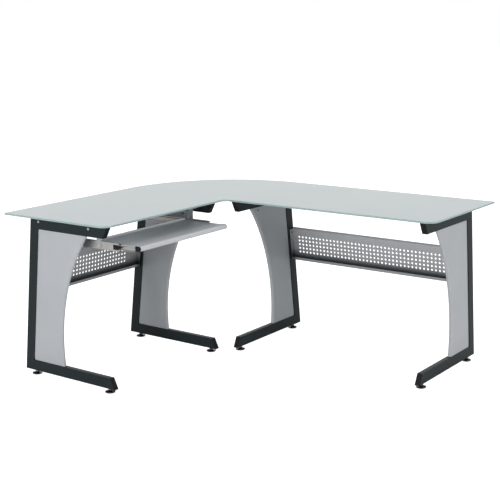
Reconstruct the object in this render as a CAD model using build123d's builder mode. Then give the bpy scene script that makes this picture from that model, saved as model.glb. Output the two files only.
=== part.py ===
"""L-shaped glass computer desk with a pull-out keyboard tray.

Millimetres, +Z up. The floor is Z = 0 and the origin is under the middle of the desk's footprint.
The right wing runs along X with its back edge at +Y. The left wing runs along Y with its back
edge at -X. The two meet in the corner at (-X, +Y), and the sitter is on the +X, -Y side.

Three kinds of local plane carry the whole desk. A leg plane has x forward to the sitter, y up,
and its origin on the floor at the wing's back edge. A slide plane has x outward from the middle of
the tray, y up. In both, a place along x is "forward" or "outward" and a place along y is a height.
"""

from build123d import *
from math import sqrt
import os

os.makedirs("parts", exist_ok=True)

# ---------------------------------------------------------------- overall sizes
right_run = 1675.0
left_run = 1405.0
wing_depth = 605.0
desk_height = 750.0

# ---------------------------------------------------------------- glass top
glass_thickness = 8.0
back_corner_radius = 580.0
front_corner_radius = 50.0
inner_corner_radius = 30.0
back_end_radius = 8.0
glass_edge_radius = 1.5
pad_height = 12.0
pad_radius = 10.0
pad_back_at = 127.0
pad_front_at = 421.0

# ---------------------------------------------------------------- leg frames
tube_depth = 50.0
tube_width = 25.0
tube_wall = 2.0
tube_corner = 2.5
post_lean = 94.0
frame_lift = 18.0
arm_setback = 55.0
arm_slant = 26.0
foot_forward = 2.0
foot_slant = 23.0
cap_thickness = 3.0
cap_spigot = 8.0
cap_clearance = 0.3
end_overhang = 80.0
corner_gap = 10.0

# ---------------------------------------------------------------- leg panels
panel_thickness = 17.0
panel_edge_ease = 5.0
panel_corner_round = 8.0
panel_waist = 243.0
panel_waist_height = 150.0
panel_sweep = 870.0
panel_screw_inset = 44.0
panel_screw_drop = 16.0

# ---------------------------------------------------------------- levelling glides
glide_back_at = 60.0
glide_front_at = 514.0
glide_radius = 22.5
glide_rim = 6.0
glide_dome = 10.0
glide_neck_radius = 9.0
glide_nut_flats = 15.0
glide_nut_top = 15.5
stem_radius = 4.0
stem_top = 40.0
stem_clearance = 0.05
stem_hole_clearance = 0.5
weld_nut_radius = 9.0
weld_nut_height = 8.0

# ---------------------------------------------------------------- perforated modesty panels
sheet = 1.5
bend = 3.0
modesty_setback = 8.0
modesty_drop = 145.0
modesty_depth = 166.0
modesty_flange = 25.0
modesty_hem = 8.0
modesty_lip = 13.0
modesty_lip_flare = 2.0
hole_radius = 4.9
hole_pitch_run = 20.5
hole_pitch_row = 19.5
hole_rows = 5
left_hole_margin = 80.0
right_hole_margin = 30.0
modesty_screw_inset = 24.0
modesty_screw_forward = 13.0

# ---------------------------------------------------------------- keyboard tray and its slides
tray_drop = 32.0
tray_skirt = 20.0
tray_back_lip = 8.0
tray_length = 222.0
tray_nose = 27.0
tray_nose_height = 22.0
tray_nose_round = 9.0
tray_nose_wall = 2.0
tray_cap_thickness = 5.0
tray_screw_spacing = 12.0
tray_back_screw_at = 22.0
tray_front_screw_at = 12.0
tray_pulled_out = 80.0
slide_back_at = 110.0
slide_length = 450.0
slide_height = 35.0
slide_depth = 12.5
slide_drop = 12.0
slide_wall = 1.5
slide_hook = 3.0
slide_hook_wall = 1.0
runner_length = 430.0
runner_height = 19.0
runner_depth = 9.0
cage_length = 60.0
cage_closed_at = 345.0
cage_sheet = 1.0
cage_web_gap = 0.5
cage_edge_gap = 1.5
cage_flange_height = 12.75
ball_radius = 2.6
ball_clearance = 0.2
ball_outward = 6.6
ball_pitch = 14.0
balls_per_race = 4
bumper_length = 26.0
bumper_height = 21.0
bumper_nose = 26.0
bumper_thickness = 2.5
rear_stop_length = 18.0
rear_stop_height = 14.0
rear_stop_depth = 7.0
rear_stop_inset = 2.0

# ---------------------------------------------------------------- hangers and fasteners
hanger_width = 24.0
hanger_sheet = 2.0
hanger_front_at = 446.0
hanger_back_at = 146.0
hanger_reach = 34.0
hanger_rise = 20.0
hanger_tab_rise = 48.0
hanger_plate_drop = 14.0
bolt_rise = 35.0
bolt_radius = 3.0
bolt_flats = 10.0
bolt_head_height = 4.0
bolt_clearance = 0.1
bolt_end = 1.5
nut_height = 5.0
screw_radius = 2.0
screw_head_radius = 4.2
screw_head_height = 2.2
screw_clearance = 0.1
screw_bite = 8.0
rivet_head_height = 1.6

# ---------------------------------------------------------------- values that follow
back_x = -right_run / 2
back_y = left_run / 2
frame_top = desk_height - glass_thickness - pad_height
frame_bottom = frame_lift
lean = post_lean / (frame_top - frame_bottom)
lean_stretch = sqrt(1 + lean**2)
arm_underside = frame_top - tube_depth
foot_topside = frame_bottom + tube_depth
arm_reach = wing_depth - arm_setback
foot_reach = arm_reach + foot_forward
modesty_top = arm_underside - modesty_drop
modesty_bottom = modesty_top - modesty_depth
corner_station = wing_depth + corner_gap
left_end_station = left_run - end_overhang
right_end_station = right_run - end_overhang
tray_middle_y = back_y - (left_end_station + corner_station) / 2
half_bay = (left_end_station - corner_station - tube_width) / 2
half_tray = half_bay - hanger_reach - slide_depth
tray_width = 2 * half_tray
tray_top = arm_underside - tray_drop
slide_middle = tray_top - slide_drop
hanger_shelf = arm_underside + hanger_rise
hanger_tab_top = arm_underside + hanger_tab_rise
hanger_plate_bottom = slide_middle - hanger_plate_drop
slide_web = half_tray + slide_depth
cage_web = slide_web - slide_wall - cage_web_gap
nose_front = slide_back_at + slide_length + tray_pulled_out + tray_nose
nose_back = nose_front - tray_nose
tray_back = nose_back - tray_length
runner_front = slide_back_at + slide_length + tray_pulled_out
cage_middle = cage_closed_at + tray_pulled_out / 2


# ---------------------------------------------------------------- planes and outlines
def leg_plane(wing, station):
    """Vertical plane across a wing, a station's distance from the desk's corner."""
    if wing == "left":
        return Plane(origin=(back_x, back_y - station, 0), x_dir=(1, 0, 0), z_dir=(0, -1, 0))
    return Plane(origin=(back_x + station, back_y, 0), x_dir=(0, -1, 0), z_dir=(-1, 0, 0))


def floor_plane(plane, forward, height):
    """Level plane over a point of a leg plane, its x forward to the sitter."""
    return Plane(origin=plane.from_local_coords((forward, height, 0)), x_dir=plane.x_dir, z_dir=(0, 0, 1))


def slide_plane(side, forward):
    """Vertical plane across the tray: side -1 is the desk's end, side 1 its corner."""
    return Plane(origin=(back_x + forward, tray_middle_y, 0), x_dir=(0, side, 0), z_dir=(side, 0, 0))


def side_plane(side, outward):
    """Plane of a slide's web: x forward to the sitter, y up, z to the desk's end."""
    return Plane(origin=(back_x, tray_middle_y + side * outward, 0), x_dir=(1, 0, 0), z_dir=(0, -1, 0))


def post_back(height):
    """Forward place of the leaning post's back edge at a height."""
    return lean * (height - frame_bottom)


def top_corner(inset):
    """Corner of the post and the arm, an inset inside the frame's outline."""
    height = frame_top - inset
    return (post_back(height) + inset * lean_stretch, height)


def bottom_corner(inset):
    """Corner of the post and the foot, an inset inside the frame's outline."""
    height = frame_bottom + inset
    return (post_back(height) + inset * lean_stretch, height)


def arm_end(height):
    """Forward place of the arm's slanted front end at a height."""
    return arm_reach - arm_slant * (frame_top - height) / tube_depth


def foot_end(height):
    """Forward place of the foot's slanted front end at a height."""
    return foot_reach - foot_slant * (height - frame_bottom) / tube_depth


def panel_front(height):
    """Forward place of the leg panel's swept front edge at a height."""
    return panel_waist + panel_sweep - sqrt(panel_sweep**2 - (height - panel_waist_height) ** 2)


def modesty_face(height):
    """Forward place of the perforated sheet, which leans as the posts do."""
    return post_back(height) + modesty_setback


def save(piece, name):
    """Label a finished piece and write it as its own file."""
    piece.label = name
    export_step(piece, f"parts/{name}.step")


modesty_screws = [
    (modesty_face(height) + modesty_screw_forward, height)
    for height in (modesty_bottom + modesty_screw_inset, modesty_top - modesty_screw_inset)
]
panel_screw_height = arm_underside - panel_screw_drop
panel_screw_place = (panel_front(panel_screw_height) - panel_screw_inset, panel_screw_height)
hanger_places = (hanger_back_at, hanger_front_at)
bolt_places = [(at, arm_underside + bolt_rise) for at in hanger_places]
tray_screw_places = (
    tray_back + tray_back_screw_at,
    tray_back + tray_back_screw_at + tray_screw_spacing,
    nose_back - tray_front_screw_at - tray_screw_spacing,
    nose_back - tray_front_screw_at,
)

# Each leg: wing, distance from the corner, and the side of its plane that faces the leg's partner.
legs = {
    "left_end": ("left", left_end_station, -1),
    "left_corner": ("left", corner_station, 1),
    "right_corner": ("right", corner_station, -1),
    "right_end": ("right", right_end_station, 1),
}


# ---------------------------------------------------------------- glass top
corner = (back_x, back_y)
left_back_end = (back_x, back_y - left_run)
left_front_end = (back_x + wing_depth, back_y - left_run)
inner_corner = (back_x + wing_depth, back_y - wing_depth)
right_front_end = (back_x + right_run, back_y - wing_depth)
right_back_end = (back_x + right_run, back_y)

with BuildPart() as glass_top:
    with BuildSketch(Plane.XY.offset(desk_height - glass_thickness)) as outline:
        with BuildLine():
            Polyline(
                corner, left_back_end, left_front_end, inner_corner, right_front_end, right_back_end, close=True
            )
        make_face()
        for place, radius in (
            (corner, back_corner_radius),
            (left_back_end, back_end_radius),
            (left_front_end, front_corner_radius),
            (inner_corner, inner_corner_radius),
            (right_front_end, front_corner_radius),
            (right_back_end, back_end_radius),
        ):
            fillet(outline.vertices().sort_by_distance(Vector(*place))[0], radius=radius)
    extrude(amount=glass_thickness)
    rims = glass_top.edges().group_by(Axis.Z)
    fillet(rims[0] + rims[-1], radius=glass_edge_radius)
save(glass_top.part, "glass_top")

with BuildPart() as glass_pads:
    for wing, station, _ in legs.values():
        for forward in (pad_back_at, pad_front_at):
            with BuildSketch(floor_plane(leg_plane(wing, station), forward, frame_top)):
                Circle(pad_radius)
    extrude(amount=pad_height)
save(glass_pads.part, "glass_pads")


# ---------------------------------------------------------------- leg frames
def tube_edges(part):
    """The long edges of a frame member, which a rolled tube has rounded."""
    return part.edges().filter_by(lambda edge: edge.length > 3 * tube_depth)


def make_post(name, plane, inner):
    """Leaning back post, mitred at both ends, drilled for the modesty panel."""
    with BuildPart() as post:
        with BuildSketch(plane):
            with BuildLine():
                Polyline(
                    top_corner(0), bottom_corner(0), bottom_corner(tube_depth), top_corner(tube_depth), close=True
                )
            make_face()
        extrude(amount=tube_width / 2, both=True)
        fillet(tube_edges(post), radius=tube_corner)
        with BuildSketch(plane):
            with BuildLine():
                Polyline(
                    top_corner(tube_wall),
                    bottom_corner(tube_wall),
                    bottom_corner(tube_depth - tube_wall),
                    top_corner(tube_depth - tube_wall),
                    close=True,
                )
            make_face()
        extrude(amount=tube_width / 2 - tube_wall, both=True, mode=Mode.SUBTRACT)
        with BuildSketch(plane.offset(inner * tube_width / 2)):
            with Locations(*modesty_screws):
                Circle(screw_radius + screw_clearance)
        extrude(amount=-inner * 2 * tube_wall, mode=Mode.SUBTRACT)
    save(post.part, f"{name}_post")


def make_arm(name, plane, holds_tray):
    """Top arm that carries the glass, with a slanted front end."""
    with BuildPart() as arm:
        with BuildSketch(plane):
            with BuildLine():
                Polyline(
                    top_corner(0),
                    (arm_end(frame_top) - cap_thickness, frame_top),
                    (arm_end(arm_underside) - cap_thickness, arm_underside),
                    top_corner(tube_depth),
                    close=True,
                )
            make_face()
        extrude(amount=tube_width / 2, both=True)
        fillet(tube_edges(arm), radius=tube_corner)
        with BuildSketch(plane):
            with BuildLine():
                Polyline(
                    top_corner(tube_wall),
                    (arm_reach, frame_top - tube_wall),
                    (arm_reach, arm_underside + tube_wall),
                    top_corner(tube_depth - tube_wall),
                    close=True,
                )
            make_face()
        extrude(amount=tube_width / 2 - tube_wall, both=True, mode=Mode.SUBTRACT)
        if holds_tray:
            with BuildSketch(plane):
                with Locations(*bolt_places):
                    Circle(bolt_radius + bolt_clearance)
            extrude(amount=tube_width, both=True, mode=Mode.SUBTRACT)
    save(arm.part, f"{name}_arm")


def make_foot(name, plane):
    """Foot on the floor side, with a slanted front end and two holes for the glides."""
    with BuildPart() as foot:
        with BuildSketch(plane):
            with BuildLine():
                Polyline(
                    bottom_corner(0),
                    (foot_end(frame_bottom) - cap_thickness, frame_bottom),
                    (foot_end(foot_topside) - cap_thickness, foot_topside),
                    bottom_corner(tube_depth),
                    close=True,
                )
            make_face()
        extrude(amount=tube_width / 2, both=True)
        fillet(tube_edges(foot), radius=tube_corner)
        with BuildSketch(plane):
            with BuildLine():
                Polyline(
                    bottom_corner(tube_wall),
                    (foot_reach, frame_bottom + tube_wall),
                    (foot_reach, foot_topside - tube_wall),
                    bottom_corner(tube_depth - tube_wall),
                    close=True,
                )
            make_face()
        extrude(amount=tube_width / 2 - tube_wall, both=True, mode=Mode.SUBTRACT)
        for forward in (glide_back_at, glide_front_at):
            with BuildSketch(floor_plane(plane, forward, frame_bottom)):
                Circle(stem_radius + stem_hole_clearance)
        extrude(amount=tube_wall, mode=Mode.SUBTRACT)
    save(foot.part, f"{name}_foot")


def make_panel(name, plane, inner):
    """Lacquered fibreboard panel that fills the frame, with a swept front edge."""
    middle_height = (arm_underside + foot_topside) / 2
    with BuildPart() as panel:
        with BuildSketch(plane) as outline:
            with BuildLine():
                ThreePointArc(
                    (panel_front(arm_underside), arm_underside),
                    (panel_front(middle_height), middle_height),
                    (panel_front(foot_topside), foot_topside),
                )
                Polyline(
                    (panel_front(foot_topside), foot_topside),
                    bottom_corner(tube_depth),
                    top_corner(tube_depth),
                    (panel_front(arm_underside), arm_underside),
                )
            make_face()
            for place in (bottom_corner(tube_depth), top_corner(tube_depth)):
                fillet(outline.vertices().sort_by_distance(Vector(*place))[0], radius=panel_corner_round)
        extrude(amount=panel_thickness / 2, both=True)
        swept = panel.faces().filter_by(GeomType.CYLINDER).sort_by(SortBy.AREA)[-1]
        chamfer(swept.edges().filter_by(GeomType.CIRCLE), length=panel_edge_ease)
        with BuildSketch(plane.offset(inner * panel_thickness / 2)):
            with Locations(panel_screw_place):
                Circle(screw_radius + screw_clearance)
        extrude(amount=-inner * (screw_bite + screw_clearance), mode=Mode.SUBTRACT)
    save(panel.part, f"{name}_panel")


for name, (wing, station, inner) in legs.items():
    plane = leg_plane(wing, station)
    make_post(name, plane, inner)
    make_arm(name, plane, holds_tray=wing == "left")
    make_foot(name, plane)
    make_panel(name, plane, inner)


def cap_outline(end, low, high, thickness):
    """Corners of a slanted plate that closes a tube's end, between two heights."""
    return [(end(low), low), (end(high), high), (end(high) - thickness, high), (end(low) - thickness, low)]


def make_end_caps(name, end, low, high):
    """Plugs for the four slanted tube ends: a plate as large as the tube and a spigot in it."""
    spigot_inset = tube_wall + cap_clearance
    with BuildPart() as caps:
        for wing, station, _ in legs.values():
            plane = leg_plane(wing, station)
            with BuildSketch(plane):
                with BuildLine():
                    Polyline(*cap_outline(end, low, high, cap_thickness), close=True)
                make_face()
            extrude(amount=tube_width / 2, both=True)
            with BuildSketch(plane):
                with BuildLine():
                    Polyline(
                        *cap_outline(end, low + spigot_inset, high - spigot_inset, cap_thickness + cap_spigot),
                        close=True,
                    )
                make_face()
            extrude(amount=tube_width / 2 - spigot_inset, both=True)
    save(caps.part, name)


make_end_caps("arm_end_caps", arm_end, arm_underside, frame_top)
make_end_caps("foot_end_caps", foot_end, frame_bottom, foot_topside)

with BuildPart() as panel_screws:
    for wing, station, inner in legs.values():
        with BuildSketch(leg_plane(wing, station).offset(inner * panel_thickness / 2)):
            with Locations(panel_screw_place):
                Circle(screw_head_radius)
        extrude(amount=inner * screw_head_height)
        with BuildSketch(leg_plane(wing, station).offset(inner * panel_thickness / 2)):
            with Locations(panel_screw_place):
                Circle(screw_radius)
        extrude(amount=-inner * screw_bite)
save(panel_screws.part, "panel_screws")


# ---------------------------------------------------------------- levelling glides
def make_glide(name, plane, forward):
    """Round foot pad, lock nut and threaded stem, turned as one piece."""
    foot = floor_plane(plane, forward, 0)
    with BuildPart() as glide:
        with BuildSketch(Plane(origin=foot.origin, x_dir=plane.x_dir, z_dir=plane.z_dir)):
            with BuildLine():
                rim = Polyline(
                    (0, glide_dome), (0, 0), (glide_radius - bend / 2, 0), (glide_radius, bend / 2),
                    (glide_radius, glide_rim - bend / 2), (glide_radius - bend / 2, glide_rim),
                )
                ThreePointArc(
                    rim @ 1,
                    ((glide_radius + glide_neck_radius) / 2 - bend / 2, glide_dome - bend / 2),
                    (glide_neck_radius, glide_dome),
                )
                Line((glide_neck_radius, glide_dome), (0, glide_dome))
            make_face()
        revolve(axis=Axis(foot.origin, (0, 0, 1)))
        with BuildSketch(foot.offset(glide_dome)):
            RegularPolygon(glide_nut_flats / 2, 6, major_radius=False)
        extrude(amount=glide_nut_top - glide_dome)
        with BuildSketch(foot.offset(glide_nut_top)):
            Circle(stem_radius)
        extrude(amount=stem_top - glide_nut_top)
    save(glide.part, name)


for name, (wing, station, _) in legs.items():
    make_glide(f"{name}_glide_back", leg_plane(wing, station), glide_back_at)
    make_glide(f"{name}_glide_front", leg_plane(wing, station), glide_front_at)

with BuildPart() as weld_nuts:
    for wing, station, _ in legs.values():
        for forward in (glide_back_at, glide_front_at):
            with BuildSketch(floor_plane(leg_plane(wing, station), forward, frame_bottom + tube_wall)):
                RegularPolygon(weld_nut_radius, 6)
                Circle(stem_radius + stem_clearance, mode=Mode.SUBTRACT)
    extrude(amount=weld_nut_height)
save(weld_nuts.part, "weld_nuts")


# ---------------------------------------------------------------- modesty panels
def make_modesty(name, plane, length, margin):
    """Perforated sheet between two posts: hemmed top, lipped bottom, a flange at each end.

    The plane stands at the sheet's first end and its normal runs along the sheet.
    """
    columns = int((length - 2 * margin) / hole_pitch_run) + 1
    face_top = modesty_top - modesty_hem
    face_bottom = modesty_bottom + sheet
    low_front = modesty_face(face_bottom) + modesty_flange
    flange_outline = [
        (modesty_face(face_top), face_top),
        (modesty_face(face_top) + modesty_flange, face_top - bend),
        (low_front, face_bottom),
        (modesty_face(face_bottom), face_bottom),
    ]
    with BuildPart() as modesty:
        with BuildSketch(plane):
            with BuildLine():
                FilletPolyline(
                    (modesty_face(face_top) - modesty_hem, modesty_top),
                    (modesty_face(face_top), face_top),
                    (modesty_face(face_bottom), face_bottom),
                    (low_front, face_bottom),
                    (low_front + modesty_lip_flare, face_bottom + modesty_lip),
                    radius=bend,
                )
                offset(amount=sheet, side=Side.RIGHT)
            make_face()
        extrude(amount=length)
        for start in (0, length - sheet):
            with BuildSketch(plane.offset(start)):
                with BuildLine():
                    Polyline(*flange_outline, close=True)
                make_face()
            extrude(amount=sheet)
        middle_height = (face_top + face_bottom) / 2
        middle = plane.from_local_coords((modesty_face(middle_height), middle_height, length / 2))
        square_on = plane.x_dir - Vector(0, 0, lean)
        with BuildSketch(Plane(origin=middle, x_dir=plane.z_dir, z_dir=square_on)):
            with GridLocations(hole_pitch_run, hole_pitch_row, columns, hole_rows):
                Circle(hole_radius)
        extrude(amount=2 * bend, both=True, mode=Mode.SUBTRACT)
        with BuildSketch(plane):
            with Locations(*modesty_screws):
                Circle(screw_radius + screw_clearance)
        extrude(amount=length, mode=Mode.SUBTRACT)
    save(modesty.part, name)


left_clear = left_end_station - corner_station - tube_width
right_clear = right_end_station - corner_station - tube_width
left_modesty_plane = leg_plane("left", corner_station + tube_width / 2)
right_modesty_plane = leg_plane("right", right_end_station - tube_width / 2)
make_modesty("left_modesty_panel", left_modesty_plane, left_clear, left_hole_margin)
make_modesty("right_modesty_panel", right_modesty_plane, right_clear, right_hole_margin)

with BuildPart() as modesty_panel_screws:
    for wing, station, inner in legs.values():
        flange_face = leg_plane(wing, station).offset(inner * (tube_width / 2 + sheet))
        with BuildSketch(flange_face):
            with Locations(*modesty_screws):
                Circle(screw_head_radius)
        extrude(amount=inner * screw_head_height)
        with BuildSketch(flange_face):
            with Locations(*modesty_screws):
                Circle(screw_radius)
        extrude(amount=-inner * screw_bite)
save(modesty_panel_screws.part, "modesty_screws")


# ---------------------------------------------------------------- tray slides
def channel(outer_face, inner_face, height, wall, middle):
    """Corners of a channel's section: its web at the outer face, open at the inner face."""
    direction = 1 if outer_face > inner_face else -1
    top, bottom = middle + height / 2, middle - height / 2
    inside = outer_face - direction * wall
    return [
        (inner_face, top), (outer_face, top), (outer_face, bottom), (inner_face, bottom),
        (inner_face, bottom + wall), (inside, bottom + wall), (inside, top - wall), (inner_face, top - wall),
    ]


def make_slide(side, name):
    """One ball slide: fixed channel, runner on the tray, and the ball cage between them."""
    slide_mouth = half_tray + slide_wall
    web_inside = slide_web - slide_wall
    with BuildPart() as rail:
        with BuildSketch(slide_plane(side, slide_back_at)):
            with BuildLine():
                Polyline(*channel(slide_web, slide_mouth, slide_height, slide_wall, slide_middle), close=True)
            make_face()
            for up in (-1, 1):
                hook_middle = slide_middle + up * (slide_height / 2 - slide_hook / 2 - slide_wall / 2)
                with Locations((slide_mouth + slide_hook_wall / 2, hook_middle)):
                    Rectangle(slide_hook_wall, slide_hook + slide_wall)
        extrude(amount=side * slide_length)
        window_back = slide_back_at + slide_length - bumper_length - rear_stop_depth
        with BuildSketch(side_plane(side, slide_web)):
            with Locations(((window_back + slide_back_at + slide_length) / 2, slide_middle)):
                Rectangle(slide_back_at + slide_length - window_back, bumper_height)
            with Locations(*[(at, slide_middle) for at in hanger_places]):
                Circle(screw_radius + screw_clearance)
        extrude(amount=side * slide_wall, both=True, mode=Mode.SUBTRACT)
    save(rail.part, f"{name}_slide_rail")

    with BuildPart() as runner:
        with BuildSketch(slide_plane(side, runner_front - runner_length)):
            with BuildLine():
                Polyline(
                    *channel(half_tray, half_tray + runner_depth, runner_height, slide_wall, slide_middle),
                    close=True,
                )
            make_face()
        extrude(amount=side * runner_length)
        with BuildSketch(side_plane(side, half_tray)):
            with Locations(*[(at, slide_middle) for at in tray_screw_places]):
                Circle(screw_radius + screw_clearance)
        extrude(amount=2 * slide_wall, both=True, mode=Mode.SUBTRACT)
    save(runner.part, f"{name}_slide_runner")

    race_outward = half_tray + ball_outward
    ball_rows = [cage_middle + (step - (balls_per_race - 1) / 2) * ball_pitch for step in range(balls_per_race)]
    cage_height = 2 * (cage_flange_height + cage_sheet / 2)
    with BuildPart() as cage:
        with BuildSketch(slide_plane(side, cage_middle - cage_length / 2)):
            with BuildLine():
                Polyline(
                    *channel(cage_web, half_tray + slide_wall + cage_edge_gap, cage_height, cage_sheet, slide_middle),
                    close=True,
                )
            make_face()
        extrude(amount=side * cage_length)
        race_plane = Plane.XY.offset(slide_middle)
        with BuildSketch(race_plane):
            with Locations(*[(back_x + at, tray_middle_y + side * race_outward) for at in ball_rows]):
                Circle(ball_radius + ball_clearance)
        extrude(amount=cage_height, both=True, mode=Mode.SUBTRACT)
    save(cage.part, f"{name}_ball_cage")

    with BuildPart() as balls:
        for up in (-1, 1):
            race_height = slide_middle + up * cage_flange_height
            for at in ball_rows:
                with Locations((back_x + at, tray_middle_y + side * race_outward, race_height)):
                    Sphere(ball_radius)
    save(balls.part, f"{name}_balls")


make_slide(-1, "left")
make_slide(1, "right")

with BuildPart() as front_bumpers:
    for side in (-1, 1):
        bumper_back = slide_back_at + slide_length - bumper_length - rear_stop_depth
        bumper_front = bumper_back + bumper_length
        half_height = bumper_height / 2
        with BuildSketch(side_plane(side, slide_web - slide_wall)):
            with BuildLine():
                Polyline(
                    (bumper_back, slide_middle - half_height),
                    (bumper_front, slide_middle - half_height),
                    (bumper_front, slide_middle - half_height / 2),
                    (bumper_front + bumper_nose, slide_middle + half_height / 3),
                    (bumper_front, slide_middle + half_height - bend / 2),
                    (bumper_front, slide_middle + half_height),
                    (bumper_back, slide_middle + half_height),
                    close=True,
                )
            make_face()
        extrude(amount=-side * bumper_thickness)
save(front_bumpers.part, "slide_front_bumpers")

with BuildPart() as rear_stops:
    for side in (-1, 1):
        with BuildSketch(side_plane(side, slide_web - slide_wall)):
            with Locations((slide_back_at + rear_stop_inset + rear_stop_length / 2, slide_middle)):
                RectangleRounded(rear_stop_length, rear_stop_height, bend)
        extrude(amount=side * rear_stop_depth)
save(rear_stops.part, "slide_rear_stops")


# ---------------------------------------------------------------- hangers under the arms
def make_hangers(side, name):
    """Two bent straps that hang a slide from the arm beside it."""
    plate = slide_web + hanger_sheet
    with BuildPart() as hangers:
        for at in hanger_places:
            with BuildSketch(slide_plane(side, at - hanger_width / 2)):
                with BuildLine():
                    Polyline(
                        (slide_web, hanger_plate_bottom),
                        (plate, hanger_plate_bottom),
                        (plate, hanger_shelf - hanger_sheet),
                        (half_bay, hanger_shelf - hanger_sheet),
                        (half_bay, hanger_tab_top),
                        (half_bay - hanger_sheet, hanger_tab_top),
                        (half_bay - hanger_sheet, hanger_shelf),
                        (slide_web, hanger_shelf),
                        close=True,
                    )
                make_face()
            extrude(amount=side * hanger_width)
        with BuildSketch(side_plane(side, slide_web)):
            with Locations(*[(at, slide_middle) for at in hanger_places]):
                Circle(screw_radius + screw_clearance)
        extrude(amount=-side * hanger_sheet, mode=Mode.SUBTRACT)
        with BuildSketch(side_plane(side, half_bay - hanger_sheet)):
            with Locations(*bolt_places):
                Circle(bolt_radius + bolt_clearance)
        extrude(amount=-side * hanger_sheet, mode=Mode.SUBTRACT)
    save(hangers.part, name)


make_hangers(-1, "left_tray_hangers")
make_hangers(1, "right_tray_hangers")

with BuildPart() as hanger_bolts:
    for side in (-1, 1):
        head_face = half_bay + tube_width
        with BuildSketch(side_plane(side, head_face)):
            with Locations(*bolt_places):
                RegularPolygon(bolt_flats / 2, 6, major_radius=False)
        extrude(amount=-side * bolt_head_height)
        with BuildSketch(side_plane(side, head_face)):
            with Locations(*bolt_places):
                Circle(bolt_radius)
        extrude(amount=side * (tube_width + hanger_sheet + nut_height + bolt_end))
save(hanger_bolts.part, "hanger_bolts")

with BuildPart() as hanger_nuts:
    for side in (-1, 1):
        with BuildSketch(side_plane(side, half_bay - hanger_sheet)):
            with Locations(*bolt_places):
                RegularPolygon(bolt_flats / 2, 6, major_radius=False)
                Circle(bolt_radius + stem_clearance, mode=Mode.SUBTRACT)
        extrude(amount=side * nut_height)
save(hanger_nuts.part, "hanger_nuts")

with BuildPart() as slide_rivets:
    for side in (-1, 1):
        with BuildSketch(side_plane(side, slide_web - slide_wall)):
            with Locations(*[(at, slide_middle) for at in hanger_places]):
                Circle(screw_radius)
        extrude(amount=-side * (slide_wall + hanger_sheet))
        with BuildSketch(side_plane(side, slide_web + hanger_sheet)):
            with Locations(*[(at, slide_middle) for at in hanger_places]):
                Circle(screw_head_radius)
        extrude(amount=-side * rivet_head_height)
save(slide_rivets.part, "slide_rivets")


# ---------------------------------------------------------------- keyboard tray
with BuildPart() as tray_pan:
    with BuildSketch(slide_plane(1, tray_back)):
        with Locations((0, tray_top - sheet / 2)):
            Rectangle(tray_width, sheet)
        for outward in (-half_tray + sheet / 2, half_tray - sheet / 2):
            with Locations((outward, tray_top - tray_skirt / 2)):
                Rectangle(sheet, tray_skirt)
    extrude(amount=tray_length)
    with BuildSketch(slide_plane(1, tray_back)):
        with Locations((0, tray_top + tray_back_lip / 2 - sheet / 2)):
            Rectangle(tray_width, tray_back_lip + sheet)
    extrude(amount=sheet)
    with BuildSketch(side_plane(-1, half_tray)):
        with Locations(*[(at, slide_middle) for at in tray_screw_places]):
            Circle(screw_radius + screw_clearance)
    extrude(amount=-tray_width, mode=Mode.SUBTRACT)
save(tray_pan.part, "tray_pan")


def nose_outline(inset):
    """Corners of the tray's front rail, an inset inside its outline."""
    low, high = tray_top - tray_skirt + inset, tray_top - tray_skirt + tray_nose_height - inset
    return [(nose_back + inset, low), (nose_front - inset, low), (nose_front - inset, high), (nose_back + inset, high)]


def front_corners(sketch):
    """The two corners of the rail's section that face the sitter."""
    return sketch.vertices().sort_by(Axis.X)[-2:]


nose_half = half_tray - tray_cap_thickness
with BuildPart() as tray_front_rail:
    with BuildSketch(side_plane(-1, 0)) as section:
        with BuildLine():
            Polyline(*nose_outline(0), close=True)
        make_face()
        fillet(front_corners(section), radius=tray_nose_round)
    extrude(amount=nose_half, both=True)
    with BuildSketch(side_plane(-1, 0)) as hollow:
        with BuildLine():
            Polyline(*nose_outline(tray_nose_wall), close=True)
        make_face()
        fillet(front_corners(hollow), radius=tray_nose_round - tray_nose_wall)
    extrude(amount=nose_half, both=True, mode=Mode.SUBTRACT)
save(tray_front_rail.part, "tray_front_rail")

with BuildPart() as tray_end_caps:
    for side in (-1, 1):
        with BuildSketch(side_plane(side, nose_half)) as section:
            with BuildLine():
                Polyline(*nose_outline(0), close=True)
            make_face()
            fillet(front_corners(section), radius=tray_nose_round)
        extrude(amount=-side * tray_cap_thickness)
save(tray_end_caps.part, "tray_end_caps")

with BuildPart() as tray_screws:
    for side in (-1, 1):
        with BuildSketch(side_plane(side, half_tray + slide_wall)):
            with Locations(*[(at, slide_middle) for at in tray_screw_places]):
                Circle(screw_head_radius)
        extrude(amount=-side * screw_head_height)
        with BuildSketch(side_plane(side, half_tray + slide_wall)):
            with Locations(*[(at, slide_middle) for at in tray_screw_places]):
                Circle(screw_radius)
        extrude(amount=side * screw_bite)
save(tray_screws.part, "tray_screws")
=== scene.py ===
from math import pi, radians

import bmesh
import bpy
from mathutils import Matrix, Vector


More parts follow.
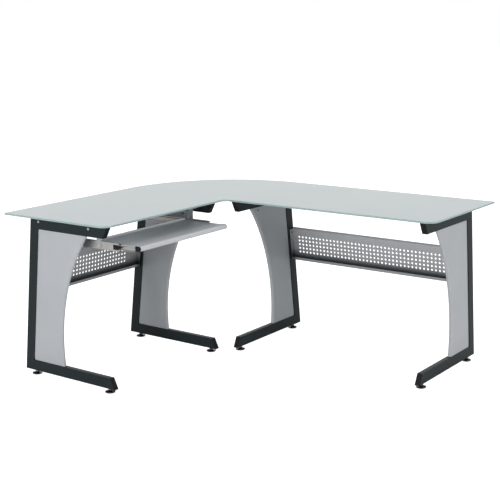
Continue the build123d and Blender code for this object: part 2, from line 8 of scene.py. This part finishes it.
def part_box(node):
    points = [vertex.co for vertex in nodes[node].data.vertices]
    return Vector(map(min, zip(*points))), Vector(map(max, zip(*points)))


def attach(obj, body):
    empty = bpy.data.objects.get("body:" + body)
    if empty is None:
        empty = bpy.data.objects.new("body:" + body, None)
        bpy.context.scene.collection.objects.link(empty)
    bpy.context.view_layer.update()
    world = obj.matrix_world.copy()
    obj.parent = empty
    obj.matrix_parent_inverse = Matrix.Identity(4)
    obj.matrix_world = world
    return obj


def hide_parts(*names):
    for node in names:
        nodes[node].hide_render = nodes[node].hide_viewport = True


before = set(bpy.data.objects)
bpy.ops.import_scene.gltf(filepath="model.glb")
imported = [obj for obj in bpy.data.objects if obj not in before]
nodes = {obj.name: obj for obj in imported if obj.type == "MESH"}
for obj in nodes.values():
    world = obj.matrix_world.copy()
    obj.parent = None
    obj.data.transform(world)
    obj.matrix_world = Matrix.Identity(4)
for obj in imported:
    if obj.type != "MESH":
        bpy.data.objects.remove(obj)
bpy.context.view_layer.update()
legs = ("left_end", "left_corner", "right_corner", "right_end")


# ------------------------------------------------------------------ leg frames
# Four C-shaped legs of 50 by 25 mm steel tube, mitred, welded and ground flush at the corners.
# They are powder-coated in satin graphite with a slight green cast and a fine orange peel.

def new_group(name, inputs, outputs):
    """An empty shader group with named sockets, and its input and output nodes."""
    group = bpy.data.node_groups.new(name, "ShaderNodeTree")
    for label, kind, value in inputs:
        group.interface.new_socket(label, in_out="INPUT", socket_type=kind).default_value = value
    for label, kind in outputs:
        group.interface.new_socket(label, in_out="OUTPUT", socket_type=kind)
    return group, group.nodes.new("NodeGroupInput"), group.nodes.new("NodeGroupOutput")


def calculate(tree, operation, first, second):
    """A math node on two values, each a socket or a number."""
    step = tree.nodes.new("ShaderNodeMath")
    step.operation = operation
    for place, value in zip(step.inputs, (first, second)):
        if isinstance(value, (int, float)):
            place.default_value = value
        else:
            tree.links.new(value, place)
    return step.outputs[0]


def cloudy(tree, scale, detail, vector=None):
    """A noise on the piece's own coordinates, or on a given vector."""
    noise = tree.nodes.new("ShaderNodeTexNoise")
    noise.inputs["Detail"].default_value = detail
    if vector is None:
        vector = tree.nodes.new("ShaderNodeTexCoord").outputs["Object"]
    tree.links.new(vector, noise.inputs["Vector"])
    if isinstance(scale, (int, float)):
        noise.inputs["Scale"].default_value = scale
    else:
        tree.links.new(scale, noise.inputs["Scale"])
    return noise.outputs["Fac"]


def blended(tree, amount, first, second):
    """Two colours mixed by an amount, each a socket or a colour."""
    mix = tree.nodes.new("ShaderNodeMix")
    mix.data_type = "RGBA"
    tree.links.new(amount, mix.inputs["Factor"])
    for place, value in ((mix.inputs["A"], first), (mix.inputs["B"], second)):
        if isinstance(value, tuple):
            place.default_value = (*value, 1)
        else:
            tree.links.new(value, place)
    return mix.outputs["Result"]


# Powder and lacquer: soft clouds in the colour and the gloss, and the fine dimples of the sprayed coat.
coat, given, made = new_group(
    "sprayed_coat",
    [("Colour", "NodeSocketColor", (0.5, 0.5, 0.5, 1)),
     ("Cloud Colour", "NodeSocketColor", (0.4, 0.4, 0.4, 1)),
     ("Cloud Scale", "NodeSocketFloat", 3.0), ("Grain Scale", "NodeSocketFloat", 900.0),
     ("Fleck", "NodeSocketFloat", 0.1), ("Roughness", "NodeSocketFloat", 0.4),
     ("Spread", "NodeSocketFloat", 0.1)],
    [("Colour", "NodeSocketColor"), ("Roughness", "NodeSocketFloat"), ("Height", "NodeSocketFloat")],
)
clouds = cloudy(coat, given.outputs["Cloud Scale"], 5)
grain = cloudy(coat, given.outputs["Grain Scale"], 2)
flecks = calculate(coat, "MULTIPLY", calculate(coat, "SUBTRACT", grain, 0.5), given.outputs["Fleck"])
amount = calculate(coat, "ADD", clouds, flecks)
tinted = blended(coat, amount, given.outputs["Colour"], given.outputs["Cloud Colour"])
coat.links.new(tinted, made.inputs["Colour"])
swing = calculate(coat, "MULTIPLY", calculate(coat, "SUBTRACT", clouds, 0.5), given.outputs["Spread"])
coat.links.new(calculate(coat, "ADD", given.outputs["Roughness"], swing), made.inputs["Roughness"])
coat.links.new(grain, made.inputs["Height"])

# Worn and highlit edges: where the surface turns sharply the colour is lighter, in broken stretches, partly
# rubbed coat and partly painted highlight.
wear_and_highlight, given, made = new_group(
    "edge_wear_and_highlight",
    [("Width", "NodeSocketFloat", 0.001), ("Strength", "NodeSocketFloat", 0.6),
     ("Break Scale", "NodeSocketFloat", 25.0)],
    [("Mask", "NodeSocketFloat")],
)
rounded = wear_and_highlight.nodes.new("ShaderNodeBevel")
rounded.samples = 4
wear_and_highlight.links.new(given.outputs["Width"], rounded.inputs["Radius"])
turn = wear_and_highlight.nodes.new("ShaderNodeVectorMath")
turn.operation = "DOT_PRODUCT"
wear_and_highlight.links.new(rounded.outputs["Normal"], turn.inputs[0])
wear_and_highlight.links.new(wear_and_highlight.nodes.new("ShaderNodeNewGeometry").outputs["Normal"], turn.inputs[1])
bent = calculate(wear_and_highlight, "MULTIPLY", calculate(wear_and_highlight, "SUBTRACT", 1.0, turn.outputs["Value"]), 6.0)
broken = calculate(wear_and_highlight, "MULTIPLY", bent, cloudy(wear_and_highlight, given.outputs["Break Scale"], 4))
mask = calculate(wear_and_highlight, "MULTIPLY", calculate(wear_and_highlight, "MINIMUM", broken, 1.0), given.outputs["Strength"])
wear_and_highlight.links.new(mask, made.inputs["Mask"])


def placed(tree, group, **values):
    """A group in a material, with its inputs set by name."""
    step = tree.nodes.new("ShaderNodeGroup")
    step.node_tree = group
    for label, value in values.items():
        socket = step.inputs[label.replace("_", " ").title()]
        socket.default_value = (*value, 1) if isinstance(value, tuple) else value
    return step.outputs


def bare_material(name):
    """A material with only its Principled shader, and that shader."""
    material = bpy.data.materials.new(name)
    material.use_nodes = True
    return material, material.node_tree, material.node_tree.nodes["Principled BSDF"]


def bumped(tree, shader, height, distance, strength):
    """Feeds a height to the shader as a bump of that depth, in metres."""
    bump = tree.nodes.new("ShaderNodeBump")
    bump.inputs["Distance"].default_value = distance
    bump.inputs["Strength"].default_value = strength
    tree.links.new(height, bump.inputs["Height"])
    tree.links.new(bump.outputs["Normal"], shader.inputs["Normal"])


def sprayed(name, colour, cloud, worn_highlight_colour, metal, rough, grain_scale=900.0, fleck=0.2, wear_highlight_width=0.0012,
            wear_highlight_strength=0.5, gloss=0.0, shine=0.5):
    """A sprayed and baked finish, lighter along its edges, partly worn and partly a painted highlight."""
    material, tree, shader = bare_material(name)
    skin = placed(tree, coat, colour=colour, cloud_colour=cloud, cloud_scale=4.0, grain_scale=grain_scale,
                  fleck=fleck, roughness=rough, spread=0.12)
    # Edges turn lighter here, partly rubbed wear and partly a painted highlight.
    wear_and_highlight_mask = placed(tree, wear_and_highlight, width=wear_highlight_width, strength=wear_highlight_strength, break_scale=25.0)["Mask"]
    tree.links.new(blended(tree, wear_and_highlight_mask, skin["Colour"], worn_highlight_colour), shader.inputs["Base Color"])
    tree.links.new(skin["Roughness"], shader.inputs["Roughness"])
    shader.inputs["Metallic"].default_value = metal
    shader.inputs["Coat Weight"].default_value = gloss
    shader.inputs["Coat Roughness"].default_value = 0.15
    shader.inputs["Specular IOR Level"].default_value = shine
    bumped(tree, shader, skin["Height"], 0.0002, 0.12)
    return material


def finish_node(name, material):
    """Gives a CAD node its material."""
    for place in nodes[name].material_slots:
        place.material = material


graphite = sprayed("graphite_powder", (0.007, 0.013, 0.0145), (0.011, 0.018, 0.020), (0.05, 0.065, 0.066),
                   metal=0.0, rough=0.42, shine=0.22)
for leg in legs:
    for member in ("post", "arm", "foot"):
        finish_node(f"{leg}_{member}", graphite)


# ------------------------------------------------------------------ tube end caps
# Moulded plugs pushed into the slanted ends of the arms and feet, flush with the tube outside.
# They are black polypropylene with a fine spark-eroded texture.

black_plastic = sprayed("black_polypropylene", (0.007, 0.008, 0.009), (0.012, 0.013, 0.014),
                        (0.03, 0.03, 0.03), metal=0.0, rough=0.5, grain_scale=2200.0, wear_highlight_strength=0.3,
                        shine=0.12)
for caps in ("arm_end_caps", "foot_end_caps"):
    finish_node(caps, black_plastic)


# ------------------------------------------------------------------ side panels
# Fibreboard panels, 17 mm thick, cut to a sweep at the front, that fill the legs and are screwed in place.
# They are sprayed in satin silver lacquer, which shows a soft mottle and slightly darker, eased edges.

silver_lacquer = sprayed("silver_lacquer", (0.43, 0.448, 0.472), (0.335, 0.352, 0.372), (0.55, 0.57, 0.58),
                         metal=0.1, rough=0.45, grain_scale=1500.0, fleck=0.5, wear_highlight_width=0.002,
                         wear_highlight_strength=0.25, gloss=0.1)
for leg in legs:
    finish_node(f"{leg}_panel", silver_lacquer)


# ------------------------------------------------------------------ levelling glides
# Eight screw-in glides: a black nylon pad in a black nickel-plated cup, a lock nut and an M8 stem.
# The stem turns in a nut welded inside the foot, and the pad swivels a little on it.

def spun(profile, steps):
    """A bmesh turned about Z from a profile of (radius, height) points."""
    mesh = bmesh.new()
    points = [mesh.verts.new((radius, 0, height)) for radius, height in profile]
    edges = [mesh.edges.new(pair) for pair in zip(points, points[1:])]
    bmesh.ops.spin(mesh, geom=points + edges, cent=(0, 0, 0), axis=(0, 0, 1), angle=2 * pi, steps=steps,
                   use_merge=True)
    bmesh.ops.remove_doubles(mesh, verts=mesh.verts, dist=1e-6)
    bmesh.ops.recalc_face_normals(mesh, faces=mesh.faces)
    return mesh


def as_piece(mesh, name, materials, smooth=True):
    """Turns a bmesh into a finished object at the origin."""
    data = bpy.data.meshes.new(name)
    mesh.to_mesh(data)
    mesh.free()
    for material in materials:
        data.materials.append(material)
    piece = bpy.data.objects.new(name, data)
    bpy.context.collection.objects.link(piece)
    if smooth:
        data.polygons.foreach_set("use_smooth", [True] * len(data.polygons))
        data.set_sharp_from_angle(angle=radians(35))
    return piece


def join_in(target, part, matrix=Matrix(), slot=0):
    """Adds a copy of one bmesh to another, placed by a matrix, and frees it."""
    for face in part.faces:
        face.material_index = slot
    bmesh.ops.transform(part, matrix=matrix, verts=part.verts)
    loose = bpy.data.meshes.new("loose")
    part.to_mesh(loose)
    part.free()
    target.from_mesh(loose)
    bpy.data.meshes.remove(loose)


def plated(name, colour, cloud, rough, streak):
    """Plated steel: drawn along one way, with long faint streaks in its gloss and colour."""
    material, tree, shader = bare_material(name)
    stretch = tree.nodes.new("ShaderNodeMapping")
    stretch.inputs["Scale"].default_value = streak
    tree.links.new(tree.nodes.new("ShaderNodeTexCoord").outputs["Object"], stretch.inputs["Vector"])
    drawn = cloudy(tree, 1.0, 6, stretch.outputs["Vector"])
    blotch = cloudy(tree, 30.0, 4)
    tint = blended(tree, calculate(tree, "MULTIPLY", drawn, blotch), colour, cloud)
    tree.links.new(tint, shader.inputs["Base Color"])
    dulled = calculate(tree, "ADD", calculate(tree, "MULTIPLY", drawn, 0.2), rough)
    tree.links.new(dulled, shader.inputs["Roughness"])
    shader.inputs["Metallic"].default_value = 1.0
    bumped(tree, shader, drawn, 0.0001, 0.15)
    return material


zinc = plated("zinc_plate", (0.62, 0.60, 0.56), (0.46, 0.45, 0.42), 0.30, (12, 900, 900))
black_nickel = plated("black_nickel", (0.20, 0.19, 0.185), (0.11, 0.105, 0.10), 0.16, (12, 900, 900))
stem_radius = 0.004
pad_slope = 0.0025
pad_corner = 0.0012
pad_seat = 0.0035
pad_draft = 0.0004
cup_lip = 0.003
cup_ease = 0.0006
cup_turn = 0.0012
cup_shoulder = 0.0008
cup_dome_share = 0.7
cup_collar = 0.0088
cup_collar_foot = 0.0095
cup_steps = 40
pad_top = 0.006
cup_top = 0.010
nut_top = 0.0155
nut_corner_radius = 0.0086
nut_ease = 0.0006
thread_pitch = 0.00125
thread_depth = 0.0006
stem_steps = 20
for leg in legs:
    for end in ("back", "front"):
        node = f"{leg}_glide_{end}"
        low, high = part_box(node)
        middle = Matrix.Translation(((low[0] + high[0]) / 2, (low[1] + high[1]) / 2, 0))
        rim = (high[0] - low[0]) / 2
        glide = bmesh.new()
        pad = spun([(0, 0), (rim - pad_slope, 0), (rim - cup_ease, pad_corner), (rim - pad_draft, pad_seat),
                    (0, pad_seat)], cup_steps)
        join_in(glide, pad, middle, 0)
        cup = spun([(0, cup_lip), (rim - cup_ease, cup_lip), (rim, cup_lip + cup_ease),
                    (rim, pad_top - cup_shoulder), (rim - cup_turn, pad_top),
                    (rim * cup_dome_share, pad_top + cup_turn), (cup_collar_foot, cup_top - cup_ease),
                    (cup_collar, cup_top), (0, cup_top)], cup_steps)
        join_in(glide, cup, middle, 1)
        nut = bmesh.new()
        bmesh.ops.create_circle(nut, cap_ends=True, segments=6, radius=nut_corner_radius)
        sides = bmesh.ops.extrude_face_region(nut, geom=nut.faces[:])
        raised = [item for item in sides["geom"] if isinstance(item, bmesh.types.BMVert)]
        bmesh.ops.translate(nut, vec=(0, 0, nut_top - cup_top), verts=raised)
        bmesh.ops.bevel(nut, geom=nut.edges[:], offset=nut_ease, segments=2, affect="EDGES", profile=0.5,
                        material=-1)
        bmesh.ops.recalc_face_normals(nut, faces=nut.faces)
        join_in(glide, nut, middle @ Matrix.Translation((0, 0, cup_top)), 1)
        turns = int((high[2] - nut_top) / thread_pitch)
        ridge = [(stem_radius - thread_depth * (step % 2), nut_top + step * thread_pitch / 2)
                 for step in range(2 * turns)]
        stem = spun([(0, nut_top), *ridge, (0, ridge[-1][1] + thread_pitch / 2)], stem_steps)
        join_in(glide, stem, middle, 1)
        piece = as_piece(glide, f"{node}_turned", [black_plastic, black_nickel])
        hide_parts(node)
        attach(piece, node)
finish_node("weld_nuts", zinc)


# ------------------------------------------------------------------ modesty panels
# Perforated sheet steel between the posts, hemmed at the top and folded into a cable trough below.
# The metallic coat is silver-grey and fine-grained. The darker shade towards and inside the trough is
# painted in for looks, and isn't part of the real coat.

metallic = sprayed("metallic_grey_powder", (0.45, 0.455, 0.47), (0.37, 0.375, 0.39), (0.58, 0.59, 0.60),
                   metal=0.3, rough=0.40, grain_scale=1800.0, fleck=0.8, wear_highlight_width=0.0008,
                   wear_highlight_strength=0.4)
tree = metallic.node_tree
shader = tree.nodes["Principled BSDF"]
trough_reach = 0.045
trough_top = 0.385
plain_above = 0.43
shade_low = 0.37
shade_high = 0.53
# Painted shade: the colour darkens into the trough's fold, where ambient occlusion finds it below 0.43 m,
# and grows darker down the panel from 0.53 m.
folds = tree.nodes.new("ShaderNodeAmbientOcclusion")
folds.samples = 8
folds.inputs["Distance"].default_value = trough_reach
spot = tree.nodes.new("ShaderNodeSeparateXYZ")
tree.links.new(tree.nodes.new("ShaderNodeTexCoord").outputs["Object"], spot.inputs["Vector"])
above = tree.nodes.new("ShaderNodeMapRange")
above.inputs["From Min"].default_value = trough_top
above.inputs["From Max"].default_value = plain_above
tree.links.new(spot.outputs["Z"], above.inputs["Value"])
openness = calculate(tree, "POWER", folds.outputs["AO"], 4.0)
painted_fold_shade = calculate(tree, "MAXIMUM", openness, above.outputs["Result"])
painted_shade_ramp = tree.nodes.new("ShaderNodeMapRange")
painted_shade_ramp.inputs["From Min"].default_value = shade_low
painted_shade_ramp.inputs["From Max"].default_value = shade_high
painted_shade_ramp.inputs["To Min"].default_value = 0.70
tree.links.new(spot.outputs["Z"], painted_shade_ramp.inputs["Value"])
painted_shade_mix = calculate(tree, "MULTIPLY", painted_fold_shade, painted_shade_ramp.outputs["Result"])
full_colour = shader.inputs["Base Color"].links[0].from_socket
tree.links.new(blended(tree, painted_shade_mix, (0.045, 0.052, 0.056), full_colour), shader.inputs["Base Color"])
for panel in ("left_modesty_panel", "right_modesty_panel"):
    finish_node(panel, metallic)


# ------------------------------------------------------------------ screws
# Cross-recessed pan heads, black where they hold the flanges and panels, and zinc on the tray.
# Each is driven into a tapped hole, with its recess turned as it happened to stop.

def separate_solids(name):
    """The points of each separate solid of a CAD node, a list for each."""
    whole = bmesh.new()
    whole.from_mesh(nodes[name].data)
    bmesh.ops.remove_doubles(whole, verts=whole.verts, dist=1e-5)
    left = set(whole.verts)
    found = []
    while left:
        island = [left.pop()]
        for vert in island:
            near = {edge.other_vert(vert) for edge in vert.link_edges} & left
            left -= near
            island.extend(near)
        found.append([vert.co.copy() for vert in island])
    whole.free()
    return sorted(found, key=lambda island: tuple(sum(island, Vector()) / len(island)))


flat_share = 0.55
recess_depth_share = 0.6
rim_rise_share = 0.35
shank_share = 0.48
turn_between = 1.1


def pan_head(radius, height, shank, bite):
    """A bmesh of one screw, its head facing +Z and its seat at Z = 0."""
    screw = bmesh.new()
    bmesh.ops.create_grid(screw, x_segments=3, y_segments=3, size=radius * flat_share,
                          matrix=Matrix.Translation((0, 0, height)))
    corners = [face for face in screw.faces
               if min(abs(face.calc_center_median().x), abs(face.calc_center_median().y)) > radius * 0.1]
    bmesh.ops.delete(screw, geom=corners, context="FACES")
    mouth = [edge for edge in screw.edges if edge.is_boundary]
    sunk = bmesh.ops.extrude_face_region(screw, geom=screw.faces[:])["geom"]
    floor_points = [item for item in sunk if isinstance(item, bmesh.types.BMVert)]
    bmesh.ops.translate(screw, vec=(0, 0, -height * recess_depth_share), verts=floor_points)
    rim = bmesh.ops.create_circle(screw, segments=24, radius=radius,
                                  matrix=Matrix.Translation((0, 0, height * rim_rise_share)))["verts"]
    rim_edges = list({edge for vert in rim for edge in vert.link_edges})
    bmesh.ops.bridge_loops(screw, edges=mouth + rim_edges)
    for depth, size in ((-height * rim_rise_share, 1.0), (0, shank / radius), (-bite, 1.0)):
        wall = bmesh.ops.extrude_edge_only(screw, edges=rim_edges)["geom"]
        ring = [item for item in wall if isinstance(item, bmesh.types.BMVert)]
        rim_edges = [item for item in wall if isinstance(item, bmesh.types.BMEdge)
                     and all(vert in ring for vert in item.verts)]
        bmesh.ops.scale(screw, vec=(size, size, 1), verts=ring)
        bmesh.ops.translate(screw, vec=(0, 0, depth), verts=ring)
    bmesh.ops.contextual_create(screw, geom=rim_edges)
    bmesh.ops.recalc_face_normals(screw, faces=screw.faces)
    return screw


def driven_screws(node, material, body):
    """One piece with a pan head for each solid of a CAD node of screws."""
    together = bmesh.new()
    for number, island in enumerate(separate_solids(node)):
        spans = [(min(point[axis] for point in island), max(point[axis] for point in island))
                 for axis in range(3)]
        along = max(range(3), key=lambda axis: spans[axis][1] - spans[axis][0])
        across = (along + 1) % 3
        middle = Vector([(low + high) / 2 for low, high in spans])
        widest = [point for point in island if abs(point[across] - spans[across][0]) < 1e-5]
        seats = sorted(point[along] for point in widest)
        outward = 1 if sum(seats) / len(seats) > middle[along] else -1
        seat = seats[0] if outward > 0 else seats[-1]
        top = seats[-1] if outward > 0 else seats[0]
        facing = Vector()
        facing[along] = outward
        middle[along] = seat
        radius = (spans[across][1] - spans[across][0]) / 2
        bite = (spans[along][1] - spans[along][0]) - abs(top - seat)
        turned = Matrix.Rotation(number * turn_between, 4, "Z")
        place = Matrix.Translation(middle) @ facing.to_track_quat("Z", "Y").to_matrix().to_4x4() @ turned
        join_in(together, pan_head(radius, abs(top - seat), radius * shank_share, bite), place)
    piece = as_piece(together, f"{node}_driven", [material])
    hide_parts(node)
    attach(piece, body)


black_oxide = plated("black_oxide", (0.05, 0.05, 0.055), (0.02, 0.02, 0.022), 0.35, (300, 300, 300))
for group in ("modesty_screws", "panel_screws"):
    driven_screws(group, black_oxide, "frame")
driven_screws("tray_screws", zinc, "keyboard_tray")


# ------------------------------------------------------------------ glass pads
# Eight clear polyurethane discs, glued to the tops of the arms.
# The glass rests on them, and their grip keeps it from sliding.

material, tree, shader = bare_material("clear_polyurethane")
haze = cloudy(tree, 180.0, 4)
tree.links.new(blended(tree, haze, (0.78, 0.86, 0.85), (0.62, 0.72, 0.71)), shader.inputs["Base Color"])
tree.links.new(calculate(tree, "MULTIPLY", haze, 0.3), shader.inputs["Roughness"])
shader.inputs["Transmission Weight"].default_value = 0.5
shader.inputs["IOR"].default_value = 1.48
bumped(tree, shader, haze, 0.0002, 0.1)
finish_node("glass_pads", material)


# ------------------------------------------------------------------ glass top
# One sheet of 8 mm toughened glass, sandblasted on its underside and polished on its face.
# It looks milky grey-green from above, with sharp reflections, and its pencil-ground edge glows aqua.

material, tree, shader = bare_material("sandblasted_glass")
where = tree.nodes.new("ShaderNodeNewGeometry")
sideways = tree.nodes.new("ShaderNodeSeparateXYZ")
tree.links.new(where.outputs["Normal"], sideways.inputs["Vector"])
flat = calculate(tree, "POWER", calculate(tree, "ABSOLUTE", sideways.outputs["Z"], 0.0), 3.0)
cloud = cloudy(tree, 2.2, 5)
blast = cloudy(tree, 1600.0, 2)
milky = blended(tree, cloud, (0.36, 0.455, 0.465), (0.44, 0.535, 0.545))
speckled = blended(tree, calculate(tree, "MULTIPLY", blast, 0.12), milky, (0.55, 0.62, 0.63))
tree.links.new(blended(tree, flat, (0.34, 0.48, 0.47), speckled), shader.inputs["Base Color"])
underside = calculate(tree, "MAXIMUM", calculate(tree, "MULTIPLY", sideways.outputs["Z"], -1.0), 0.0)
smears = calculate(tree, "MULTIPLY", cloudy(tree, 7.0, 6), 0.05)
body_gloss = calculate(tree, "ADD", calculate(tree, "MULTIPLY", underside, 0.45), 0.30)
tree.links.new(calculate(tree, "ADD", body_gloss, smears), shader.inputs["Roughness"])
shader.inputs["Transmission Weight"].default_value = 0.25
shader.inputs["IOR"].default_value = 1.5
shader.inputs["Coat Weight"].default_value = 0.65
shader.inputs["Coat Roughness"].default_value = 0.02
shader.inputs["Coat IOR"].default_value = 1.5
bumped(tree, shader, calculate(tree, "MULTIPLY", blast, underside), 0.0002, 0.3)
finish_node("glass_top", material)


# ------------------------------------------------------------------ tray slides
# A pair of 450 mm ball slides, roll-formed from zinc-plated strip, with a steel cage of balls in each.
# Black nylon stops are pressed into the rails: a pointed one in front and a round-cornered one behind.

warm_zinc = plated("warm_zinc_plate", (0.52, 0.51, 0.495), (0.38, 0.372, 0.36), 0.28, (8, 1100, 1100))
cage_plate = plated("cage_plate", (0.48, 0.47, 0.44), (0.33, 0.32, 0.30), 0.35, (20, 800, 800))
ball_steel = plated("ball_steel", (0.74, 0.74, 0.75), (0.60, 0.60, 0.61), 0.06, (400, 400, 400))
for side in ("left", "right"):
    finish_node(f"{side}_slide_rail", warm_zinc)
    finish_node(f"{side}_slide_runner", warm_zinc)
    finish_node(f"{side}_ball_cage", cage_plate)
    finish_node(f"{side}_balls", ball_steel)
finish_node("slide_front_bumpers", black_plastic)
finish_node("slide_rear_stops", black_plastic)
finish_node("slide_rivets", zinc)


# ------------------------------------------------------------------ hangers
# Bent steel straps that hang the slides from the arms' inner faces. They are sprayed silver.
# A plated hexagon bolt goes right through the arm and each strap, with a nut inside.

hanger_coat = sprayed("hanger_silver", (0.42, 0.43, 0.44), (0.34, 0.35, 0.36), (0.55, 0.55, 0.55),
                      metal=0.5, rough=0.4, grain_scale=1800.0, wear_highlight_width=0.0008)
for side in ("left", "right"):
    finish_node(f"{side}_tray_hangers", hanger_coat)
finish_node("hanger_bolts", zinc)
finish_node("hanger_nuts", zinc)


# ------------------------------------------------------------------ keyboard tray
# A folded sheet-steel pan with a low back lip, sprayed pale silver, and a rolled front rail.
# The rail's ends are closed by black moulded caps.

pale_silver = sprayed("pale_silver_powder", (0.58, 0.59, 0.62), (0.50, 0.51, 0.54), (0.70, 0.71, 0.72),
                      metal=0.05, rough=0.36, grain_scale=1600.0, fleck=0.5, wear_highlight_width=0.001,
                      wear_highlight_strength=0.3, gloss=0.1)
for name in ("tray_pan", "tray_front_rail"):
    finish_node(name, pale_silver)
finish_node("tray_end_caps", black_plastic)


# ------------------------------------------------------------------ floor, light and camera
# A plain white studio sweep, a softbox square to each wing's end, one overhead, and a bright backdrop.

floor_mesh = bmesh.new()
bmesh.ops.create_grid(floor_mesh, x_segments=1, y_segments=1, size=40.0)
material, tree, shader = bare_material("studio_floor")
shader.inputs["Base Color"].default_value = (0.8, 0.8, 0.8, 1)
shader.inputs["Roughness"].default_value = 0.9
shader.inputs["Specular IOR Level"].default_value = 0.0
shader.inputs["Emission Color"].default_value = (1, 1, 1, 1)
seen = tree.nodes.new("ShaderNodeLightPath").outputs["Is Camera Ray"]
tree.links.new(calculate(tree, "MULTIPLY", seen, 0.8), shader.inputs["Emission Strength"])
floor = as_piece(floor_mesh, "floor", [material], smooth=False)

backdrop_light = 1.0
room_light = 0.35
world = bpy.data.worlds.new("studio")
world.use_nodes = True
tree = world.node_tree
shader = tree.nodes["Background"]
shader.inputs["Color"].default_value = (1, 1, 1, 1)
behind = tree.nodes.new("ShaderNodeVectorMath")
behind.operation = "DOT_PRODUCT"
behind.inputs[1].default_value = (-0.6, 0.8, 0.0)
tree.links.new(tree.nodes.new("ShaderNodeTexCoord").outputs["Generated"], behind.inputs[0])
spread = tree.nodes.new("ShaderNodeMapRange")
spread.inputs["From Min"].default_value = 0.0
spread.inputs["From Max"].default_value = 0.7
spread.inputs["To Min"].default_value = room_light
spread.inputs["To Max"].default_value = backdrop_light
tree.links.new(behind.outputs["Value"], spread.inputs["Value"])
seen = tree.nodes.new("ShaderNodeLightPath").outputs["Is Camera Ray"]
tree.links.new(calculate(tree, "MAXIMUM", spread.outputs["Result"], seen), shader.inputs["Strength"])
bpy.context.scene.world = world
bpy.context.scene.view_settings.view_transform = "Standard"


def softbox(name, place, aim, size, power):
    """A square area light that looks at a point."""
    light = bpy.data.lights.new(name, "AREA")
    light.shape = "SQUARE"
    light.size = size
    light.energy = power
    lamp = bpy.data.objects.new(name, light)
    lamp.location = place
    lamp.rotation_euler = (Vector(aim) - Vector(place)).to_track_quat("-Z", "Y").to_euler()
    bpy.context.collection.objects.link(lamp)


softbox("left_softbox", (-0.6, -6.5, 1.6), (-0.6, -0.6, 0.5), 3.0, 250)
softbox("right_softbox", (6.8, 0.4, 2.3), (0.75, 0.4, 0.5), 2.6, 215)
softbox("overhead_softbox", (0.3, -0.6, 4.5), (0.3, -0.6, 0.7), 2.5, 30)

heading_angle = 36.267
downward_angle = 15.468
roll_angle = -0.677
camera_place = (2.7777, -3.8174, 1.5830)
camera = bpy.data.cameras.new("camera")
camera.lens = 77.47
camera.sensor_width = 36.0
camera.shift_y = 0.12
viewer = bpy.data.objects.new("camera", camera)
bpy.context.collection.objects.link(viewer)
heading = Matrix.Rotation(radians(heading_angle), 4, "Z")
tilt = Matrix.Rotation(radians(90 - downward_angle), 4, "X")
roll = Matrix.Rotation(radians(roll_angle), 4, "Z")
viewer.matrix_world = Matrix.Translation(camera_place) @ heading @ tilt @ roll
bpy.context.scene.camera = viewer
